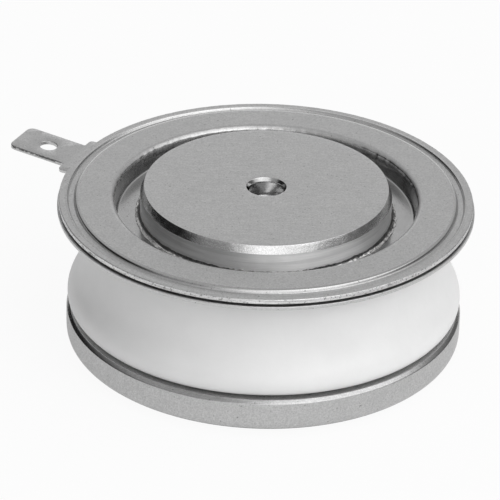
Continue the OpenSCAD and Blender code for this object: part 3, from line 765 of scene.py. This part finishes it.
def bent(x, y, z):
    """A point of the flat tab after the blade's bend. z is measured from the sheet's middle."""
    past = x - BEND_START
    if past <= 0:
        return x, y, z
    angle = BLADE_BEND * min(past / BEND_LENGTH, 1.0)
    radius = BEND_LENGTH / BLADE_BEND
    rest = max(past - BEND_LENGTH, 0.0)
    out_x = BEND_START + radius * math.sin(angle) - z * math.sin(angle) + rest * math.cos(angle)
    out_z = radius * (1 - math.cos(angle)) + z * math.cos(angle) + rest * math.sin(angle)
    return out_x, y, out_z


def edge_profile():
    """A rounded sheet edge: heights from the middle, each with how far it is drawn in, from 0 to 1."""
    top = SHEET_T / 2
    upper = [(top, 1.0), (top - 0.3 * EDGE_R, 0.3), (top - EDGE_R, 0.0)]
    return upper + [(0.0, 0.0)] + [(-height, drawn) for height, drawn in reversed(upper)]


def tab_walls(mesh, loop, outside):
    """The rounded side wall along one closed plan. Returns the rings at the top and the bottom."""
    rings = []
    for height, drawn in edge_profile():
        near_top = height > SHEET_T / 2 - 2 * EDGE_R

        def by(x, y):
            torn = burr(x, y) if outside else 0.0
            rounding = EDGE_R * drawn * (1 + BURR_ROUNDING * torn)
            return rounding + BURR_DEPTH * torn * (1.0 if near_top else BURR_LOW_SHARE)
        rings.append([mesh.verts.new((x, y, height)) for x, y in inset(loop, by)])
    for upper, lower in zip(rings, rings[1:]):
        for k in range(len(loop)):
            n = (k + 1) % len(loop)
            mesh.faces.new((upper[k], upper[n], lower[n], lower[k]))
    return rings[0], rings[-1]


def make_tab():
    """The shoulder and the blade, as one sheet with a hole and rounded, sheared edges."""
    mesh = bmesh.new()
    hole = arc((FLANGE_R + HOLE_AT, 0), HOLE_R, 360, 0, HOLE_STEPS)[:-1]
    outside = tab_walls(mesh, spaced(tab_plan(), TAB_STEP), True)
    inside = tab_walls(mesh, hole, False)
    for outer, inner in zip(outside, inside):
        edges = []
        for ring in (outer, inner):
            edges += [mesh.edges.get((ring[k - 1], ring[k])) for k in range(len(ring))]
        bmesh.ops.triangle_fill(mesh, use_beauty=True, edges=edges)
    for k in range(BEND_CUTS + 1):
        x = BEND_START + BEND_LENGTH * k / BEND_CUTS
        bmesh.ops.bisect_plane(mesh, geom=mesh.verts[:] + mesh.edges[:] + mesh.faces[:],
                               dist=SAME_POINT, plane_co=(x, 0, 0), plane_no=(1, 0, 0))
    for vert in mesh.verts:
        vert.co = bent(*vert.co)
        vert.co.z += LIP_TOP_Z - TAB_SUNK - SHEET_T / 2
    bmesh.ops.rotate(mesh, verts=mesh.verts, matrix=Matrix.Rotation(BLADE_AZIMUTH, 3, "Z"))
    return to_object("tab", mesh)


def flange_step(r, z):
    return FLANGE_FINE_STEP if r > FLANGE_SHOWS_R else FLANGE_STEP


def flange_wander(r, z, angle):
    if r < FLANGE_ROUGH_R:
        return 0.0, 0.0
    return -FLANGE_ROUGHNESS * round_dent(angle, r, FLANGE_ROUGH_SIZE, seed=9.2, height=z), 0.0


def along(vector, azimuth):
    """How far a vector reaches in a level direction."""
    return vector.x * math.cos(azimuth) + vector.y * math.sin(azimuth)


def flange_material(face):
    """Torn and painted dark along the blade's front, painted lighter on the lip's edge and the hole's wall as
    the pale reflection they show, satin elsewhere.
    """
    out = along(face.center, BLADE_AZIMUTH)
    aside = along(face.center, FRONT_AZIMUTH)
    if math.hypot(out - FLANGE_R - HOLE_AT, aside) < HOLE_R + NEAR_WALL:
        return FLANGE_EDGE_PAINTED_LIGHT
    if out > BURR_ALONG[0]:
        forward = along(face.normal, FRONT_AZIMUTH)
        # Faces of the torn edge take the dark material, a painted dark reflection
        torn = forward > TORN_FORWARD and TORN_UP[0] < face.normal.z < TORN_UP[1]
        return TORN_EDGE_PAINTED_DARK if torn else SATIN
    on_edge = abs(face.normal.z) < EDGE_UP and radius_of(face) > FLANGE_R - EDGE_R
    return FLANGE_EDGE_PAINTED_LIGHT if on_edge else SATIN


def make_flange():
    outline = divided(section("weld_flange"), flange_step)
    flange = to_object("flange", turned(outline, FLANGE_TURNS, flange_wander))
    combine(flange, make_tab(), "UNION")
    dress(flange, [SATIN, TORN_EDGE_PAINTED_DARK, FLANGE_EDGE_PAINTED_LIGHT], flange_material)
    even_normals(flange)
    as_piece(flange, "weld_flange")


# The contact poles

POLE_TURNS = 480
POLE_TOP_Z = 17.0 * MM
POLE_CORNER_R = 0.03 * MM
# Short steps near the contact faces: this far in, at the hole's mouth and outside the radius of the bevel
POLE_FACE_ZONE = 0.7 * MM
POLE_BEVEL_R = 12 * MM
MOUTH_STEP = 0.06 * MM
BEVEL_STEP = 0.4 * MM
POLE_STEP = 1.0 * MM
# The centring hole's mouth narrows over its depth, then steps back out between the two depths that follow
MOUTH_R = 2.0 * MM
MOUTH_DEPTH = 0.42 * MM
MOUTH_TAPER = 0.22 * MM
MOUTH_BACK = (MOUTH_DEPTH * 1.02, MOUTH_DEPTH * 1.25)
MOUTH_END = MOUTH_DEPTH * 1.3
# Faces inside this radius are drilled. Level and bevelled ones look up or down by more than the next two, and
# the bevel lies outside this share of the pole's radius
DRILLED_R = 2.1 * MM
LEVEL_UP = 0.98
BEVEL_UP = 0.15
BEVEL_FROM = 0.9
# The recess and the slot that take the gate's bush and lead
GATE_AZIMUTH = math.radians(124)
GATE_Z = 11.5 * MM
GATE_RECESS_R = 2.6 * MM
GATE_RECESS_TOP_Z = 12.7 * MM
GATE_SLOT_R = 1.0 * MM
CATHODE_FOOT_Z = 7.4 * MM
OVERCUT = 1.0 * MM
ROD_SIDES = 64


def pole_step(r, z):
    near_face = z < POLE_FACE_ZONE or z > POLE_TOP_Z - POLE_FACE_ZONE
    if r < MOUTH_R * 1.01 and near_face:
        return MOUTH_STEP
    return BEVEL_STEP if r > POLE_BEVEL_R and near_face else POLE_STEP


def rod(name, radius, start, end):
    """A round cutter between two points."""
    mesh = bmesh.new()
    span = Vector(end) - Vector(start)
    middle = Matrix.Translation((Vector(start) + Vector(end)) / 2)
    place = middle @ span.to_track_quat("Z", "Y").to_matrix().to_4x4()
    bmesh.ops.create_cone(mesh, cap_ends=True, segments=ROD_SIDES, radius1=radius, radius2=radius,
                          depth=span.length, matrix=place)
    return to_object(name, mesh)


def gate_point(r, z):
    return (r * math.cos(GATE_AZIMUTH), r * math.sin(GATE_AZIMUTH), z)


def cut_towards_gate(piece, name, radius, start, end):
    """Cuts a round way along the gate's azimuth, from one radius to another."""
    combine(piece, rod(name, radius, gate_point(start, GATE_Z), gate_point(end, GATE_Z)), "DIFFERENCE")


def mouth_wander(mouth_z):
    """The centring hole's mouth: a narrow cone inwards, then a small step back out to the drilled wall."""
    def wander(r, z, angle):
        depth = abs(z - mouth_z)
        if r > MOUTH_R + NEAR_WALL or depth > MOUTH_END:
            return 0.0, 0.0
        inward = min(depth / MOUTH_DEPTH, 1.0)
        back = smooth_step(depth, *MOUTH_BACK)
        return -MOUTH_TAPER * inward * (1 - back), 0.0
    return wander


def make_pole(name, node, mouth_z):
    """A contact pole: lapped face, dressed bevel, turned side and drilled centring hole."""
    outline = divided(rounded(section(node), POLE_CORNER_R), pole_step)
    pole = to_object(name, turned(outline, POLE_TURNS, mouth_wander(mouth_z)))
    bevel_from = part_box(node)[1].x * BEVEL_FROM

    def material(face):
        level = abs(face.normal.z)
        if level > LEVEL_UP:
            return LAPPED
        if radius_of(face) < DRILLED_R:
            return DRILLED
        return BEVEL if level > BEVEL_UP and radius_of(face) > bevel_from else TURNED
    dress(pole, [LAPPED, TURNED, BEVEL, DRILLED], material)
    return as_piece(pole, node)


def make_cathode_pole():
    """The upper pole, with the recess for the gate's pieces and the slot by which its lead leaves."""
    pole = make_pole("cathode_pole", "cathode_contact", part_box("cathode_contact")[1].z)
    under = CATHODE_FOOT_Z - OVERCUT
    combine(pole, rod("recess_cutter", GATE_RECESS_R, (0, 0, under), (0, 0, GATE_RECESS_TOP_Z)), "DIFFERENCE")
    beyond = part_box("cathode_contact")[1].x + OVERCUT
    cut_towards_gate(pole, "slot_cutter", GATE_SLOT_R, 0, beyond)
    slot = bmesh.new()
    size = (beyond, 2 * GATE_SLOT_R, GATE_Z - under)
    place = Matrix.Rotation(GATE_AZIMUTH, 4, "Z") @ Matrix.Translation((beyond / 2, 0, (GATE_Z + under) / 2))
    bmesh.ops.create_cube(slot, size=1, matrix=place @ Matrix.Diagonal((*size, 1)))
    combine(pole, to_object("slot_mouth", slot), "DIFFERENCE")
    even_normals(pole)


def make_anode_pole():
    even_normals(make_pole("anode_pole", "anode_contact", 0.0))


# The ceramic and the other turned pieces

TURNS = 360
CERAMIC_CORNER_R = 0.05 * MM
CERAMIC_STEP = 0.18 * MM
CERAMIC_PASSES = 30
GATE_BORE_R = 0.92 * MM
GATE_SEAT_R = 1.7 * MM
GATE_SEAT_START = 17.55 * MM
# The anode ring's chamfer and its rounded foot, whose downward faces carry painted shade: their heights, and
# how far up their faces look
RING_CHAMFER_H = 0.34 * MM
RING_CHAMFER_UP = (0.15, 0.95)
RING_FOOT_H = 0.8 * MM
RING_FOOT_UP = (-0.9, -0.25)


def make_ceramic():
    corners = rounded(section("ceramic_ring"), CERAMIC_CORNER_R)
    outline = eased(divided(corners, lambda r, z: CERAMIC_STEP), CERAMIC_PASSES)
    ceramic = to_object("ceramic", turned(outline, TURNS))
    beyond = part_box("ceramic_ring")[1].x + OVERCUT
    cut_towards_gate(ceramic, "gate_bore", GATE_BORE_R, OVERCUT, beyond)
    cut_towards_gate(ceramic, "gate_seat", GATE_SEAT_R, GATE_SEAT_START, beyond)
    dress(ceramic, [GLAZE])
    even_normals(ceramic)
    as_piece(ceramic, "ceramic_ring")


def make_turned(name, node, materials, corner, step, turns=TURNS, wander=None, passes=0, choose=None):
    """A piece turned from its node's outline, with rounded corners."""
    outline = divided(rounded(section(node), corner), lambda r, z: step)
    piece = to_object(name, turned(eased(outline, passes), turns, wander))
    dress(piece, materials, choose)
    even_normals(piece)
    as_piece(piece, node)


def make_anode_ring():
    chamfer_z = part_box("anode_ring")[1].z - RING_CHAMFER_H

    def material(face):
        if face.center.z > chamfer_z and RING_CHAMFER_UP[0] < face.normal.z < RING_CHAMFER_UP[1]:
            return RING_CHAMFER
        # Downward faces of the foot get painted shade
        if face.center.z < RING_FOOT_H and RING_FOOT_UP[0] < face.normal.z < RING_FOOT_UP[1]:
            return RING_FOOT_SHADE
        return RING_SATIN
    make_turned("ring_of_anode", "anode_ring", [RING_SATIN, RING_CHAMFER, RING_FOOT_SHADE],
                corner=0.04 * MM, step=0.18 * MM, passes=6, choose=material)


# The braze beads

BEAD_TURNS = 900
BEAD_FOOT_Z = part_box("cathode_braze_bead")[0].z
# Depth and size of the waves in the frozen braze, first a long one and then a short one
BEAD_RISE = ((0.09 * MM, 1.6 * MM), (0.09 * MM, 0.45 * MM))
BEAD_OUT = ((0.12 * MM, 1.1 * MM), (0.09 * MM, 0.35 * MM))
# The waves grow from nothing between these radii, and between these heights over the bead's foot
BEAD_GROW_R = (12.55 * MM, 12.8 * MM)
BEAD_GROW_H = (0.02 * MM, 0.4 * MM)
# A line of painted shade lies inside this radius, in the crease at the pole's foot, except at the very front,
# where light falls
CREASE_SHADE_R = 12.67 * MM
CREASE_SHADE_FROM_Y = -11.8 * MM


def bead_waves(r, z, angle, waves, seeds):
    (long_depth, long_size), (short_depth, short_size) = waves
    long_wave = long_depth * round_wobble(angle, r, long_size, seeds[0])
    return long_wave + short_depth * round_wobble(angle, r, short_size, seeds[1], z)


def bead_wander(r, z, angle):
    """Waves of frozen braze, still at the pole and at the lid."""
    rise = bead_waves(r, z, angle, BEAD_RISE, (2.2, 7.7))
    out = bead_waves(r, z, angle, BEAD_OUT, (5.5, 1.9))
    return out * smooth_step(r, *BEAD_GROW_R), rise * smooth_step(z - BEAD_FOOT_Z, *BEAD_GROW_H)


def bead_material(face):
    # Painted shade in the crease by the pole, left off at the front
    return BEAD_CREASE_SHADE if radius_of(face) < CREASE_SHADE_R and face.center.y > CREASE_SHADE_FROM_Y else BRAZE


make_cathode_pole()
make_anode_pole()
make_lid()
make_flange()
make_ceramic()
make_anode_ring()
make_turned("diaphragm", "anode_diaphragm", [SATIN], corner=0.04 * MM, step=0.3 * MM)
make_turned("bead_of_cathode", "cathode_braze_bead", [BRAZE, BEAD_CREASE_SHADE], corner=0.03 * MM, step=0.05 * MM,
            turns=BEAD_TURNS, wander=bead_wander, choose=bead_material)
make_turned("bead_of_anode", "anode_braze_bead", [BRAZE], corner=0.03 * MM, step=0.1 * MM, turns=480)

# The pieces inside and the gate's terminal keep their own meshes, each in its material
KEPT = {
    "upper_seal_braze": BRAZE, "lower_seal_braze": BRAZE, "gate_tube_braze": BRAZE,
    "gate_tube": SATIN, "gate_terminal": SATIN,
    "molybdenum_disc": plain_metal("lapped_molybdenum", 0.42, 0.4),
    "molybdenum_washer": plain_metal("lapped_molybdenum_washer", 0.42, 0.4),
    "gate_pin": plain_metal("drawn_copper", 0.6, 0.3, 0.3),
    "gate_lead": plain_metal("drawn_copper_lead", 0.6, 0.3, 0.3),
    "gate_spring": plain_metal("spring_wire", 0.45, 0.25),
    "silicon_wafer": plain_metal("polished_silicon", 0.25, 0.15, -0.06),
    "wafer_edge_rubber": moulded("silicone_rubber", (0.80, 0.78, 0.72), 0.45),
    "locating_ring": moulded("fluoropolymer", (0.92, 0.92, 0.90), 0.4),
    "gate_bush": moulded("fluoropolymer_bush", (0.92, 0.92, 0.90), 0.4),
    "gate_lead_sleeve": moulded("fluoropolymer_sleeve", (0.92, 0.92, 0.90), 0.4)}
for node, material in KEPT.items():
    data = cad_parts[node].data
    for index in range(len(data.materials)):
        data.materials[index] = material


# The table

FLOOR_R = 0.2
FLOOR_SIDES = 96
# A hair below the contact face, so that the two aren't in one plane
FLOOR_BELOW = 0.02 * MM
FLOOR_GREY = 0.75
FLOOR_GLOW = 0.93
FLOOR_GLOW_MIRRORED = 0.5


def path_share(nodes, camera, mirrored):
    """camera where the camera looks, mirrored where gloss and glass do, and 0 for the light that falls."""
    path = nodes.add("ShaderNodeLightPath").outputs
    share = nodes.math("MULTIPLY", path["Is Camera Ray"], camera)
    for ray in ("Is Glossy Ray", "Is Transmission Ray"):
        share = nodes.math("MAXIMUM", share, nodes.math("MULTIPLY", path[ray], mirrored))
    return share


def make_floor():
    """A white table that glows for the camera and takes the object's shadow."""
    mesh = bmesh.new()
    bmesh.ops.create_circle(mesh, cap_ends=True, segments=FLOOR_SIDES, radius=FLOOR_R)
    floor = to_object("floor", mesh)
    floor.location.z = -FLOOR_BELOW
    material = bpy.data.materials.new("white_table")
    material.use_nodes = True
    nodes = Nodes(material.node_tree)
    nodes.tree.nodes.clear()
    paint = nodes.add("ShaderNodeBsdfDiffuse", {"Color": grey(FLOOR_GREY)}).outputs[0]
    glow = nodes.add("ShaderNodeEmission").outputs[0]
    share = path_share(nodes, FLOOR_GLOW, FLOOR_GLOW_MIRRORED)
    blend = nodes.add("ShaderNodeMixShader", {0: share, 1: paint, 2: glow}).outputs[0]
    nodes.add("ShaderNodeOutputMaterial", {"Surface": blend})
    floor.data.materials.append(material)


# The room as soft patches of light and shade

# It brightens from low to high between these shares of straight up, and is never darker than the last value
ROOM_LOW = 0.20
ROOM_HIGH = 0.50
ROOM_HIGH_FROM = 0.10
ROOM_HIGH_TO = 0.60
ROOM_DARKEST = 0.015
# Azimuth, elevation, the angle within which a patch is full, the angle at which it ends, and how much it adds
ROOM_PATCHES = [
    (281, 19, 6, 44, 0.78),
    (333, 54, 12, 46, 1.15),
    (162, -4, 24, 56, -0.36),
    (272, 8, 4, 22, 0.35),
    (90, 2, 6, 30, 0.85),
    (20, -2, 10, 45, -0.08),
]


def direction(azimuth, elevation):
    a, e = math.radians(azimuth), math.radians(elevation)
    return (math.cos(a) * math.cos(e), math.sin(a) * math.cos(e), math.sin(e))


def room_patch(nodes, facing, axis, low, high, base, gain):
    """base away from the axis and base + gain towards it, between the two cosines."""
    towards = nodes.add("ShaderNodeVectorMath", {0: facing, 1: axis}, operation="DOT_PRODUCT")
    ramp = nodes.add("ShaderNodeMapRange", {
        "Value": towards.outputs["Value"], "From Min": low, "From Max": high,
        "To Min": base, "To Max": base + gain}, interpolation_type="SMOOTHSTEP")
    return ramp.outputs["Result"]


def make_world():
    world = bpy.data.worlds.new("pale_room")
    world.use_nodes = True
    bpy.context.scene.world = world
    nodes = Nodes(world.node_tree)
    facing = nodes.add("ShaderNodeTexCoord").outputs["Generated"]
    room = room_patch(nodes, facing, (0, 0, 1), ROOM_HIGH_FROM, ROOM_HIGH_TO, ROOM_LOW, ROOM_HIGH - ROOM_LOW)
    for azimuth, elevation, full, end, gain in ROOM_PATCHES:
        ends, fills = math.cos(math.radians(end)), math.cos(math.radians(full))
        patch = room_patch(nodes, facing, direction(azimuth, elevation), ends, fills, 0, gain)
        room = nodes.math("ADD", room, patch)
    room = nodes.math("MAXIMUM", room, ROOM_DARKEST)
    white_to_camera = nodes.add("ShaderNodeMix", {0: path_share(nodes, 1.0, 0.0), 2: room, 3: 1.0}).outputs[0]
    background = nodes.tree.nodes["Background"]
    background.inputs["Color"].default_value = (1, 1, 1, 1)
    nodes.feed(background.inputs["Strength"], white_to_camera)


# The lamp, which gloss doesn't mirror, aimed at the middle of the part

LAMP_AT = (0.34, -0.34, 0.35)
LAMP_AIM = (0, 0, 0.01)
LAMP_SIZE = 0.3
LAMP_POWER = 0.47


def make_lamp():
    data = bpy.data.lights.new("key", "AREA")
    data.shape = "SQUARE"
    data.size = LAMP_SIZE
    data.energy = LAMP_POWER
    lamp = link("key", data)
    lamp.location = LAMP_AT
    lamp.visible_glossy = False
    lamp.rotation_euler = (Vector(LAMP_AIM) - Vector(LAMP_AT)).to_track_quat("-Z", "Y").to_euler()


# The photograph's camera: where the centre of the outer rim shows, and the picture's scale there

RIM_Z = 15.8 * MM
RIM_PIXEL = (266.1, 197.2)
PIXELS_PER_RIM_R = 209.0
PICTURE_SIZE = 500
DISTANCE = 20.5 * FLANGE_R
ELEVATION = math.radians(28.22)
ROLL = math.radians(1.5)
SENSOR_WIDTH = 36
CLIP_END = 10


def make_camera():
    data = bpy.data.cameras.new("camera")
    camera = link("camera", data)
    focal = PIXELS_PER_RIM_R * DISTANCE / FLANGE_R
    data.sensor_width = SENSOR_WIDTH
    data.lens = focal / PICTURE_SIZE * SENSOR_WIDTH
    data.clip_end = CLIP_END
    back = Vector((0, -math.cos(ELEVATION), math.sin(ELEVATION)))
    aim = (-back).to_track_quat("-Z", "Y").to_matrix()
    yaw = math.atan((RIM_PIXEL[0] - PICTURE_SIZE / 2) / focal)
    pitch = math.atan((PICTURE_SIZE / 2 - RIM_PIXEL[1]) / focal)
    turn = Matrix.Rotation(ROLL, 3, "Z") @ Matrix.Rotation(-pitch, 3, "X") @ Matrix.Rotation(yaw, 3, "Y")
    place = Matrix.Translation(Vector((0, 0, RIM_Z)) + back * DISTANCE)
    camera.matrix_world = place @ (aim @ turn).to_4x4()
    bpy.context.scene.camera = camera


make_floor()
make_world()
make_lamp()
make_camera()
bpy.context.scene.view_settings.view_transform = "Standard"
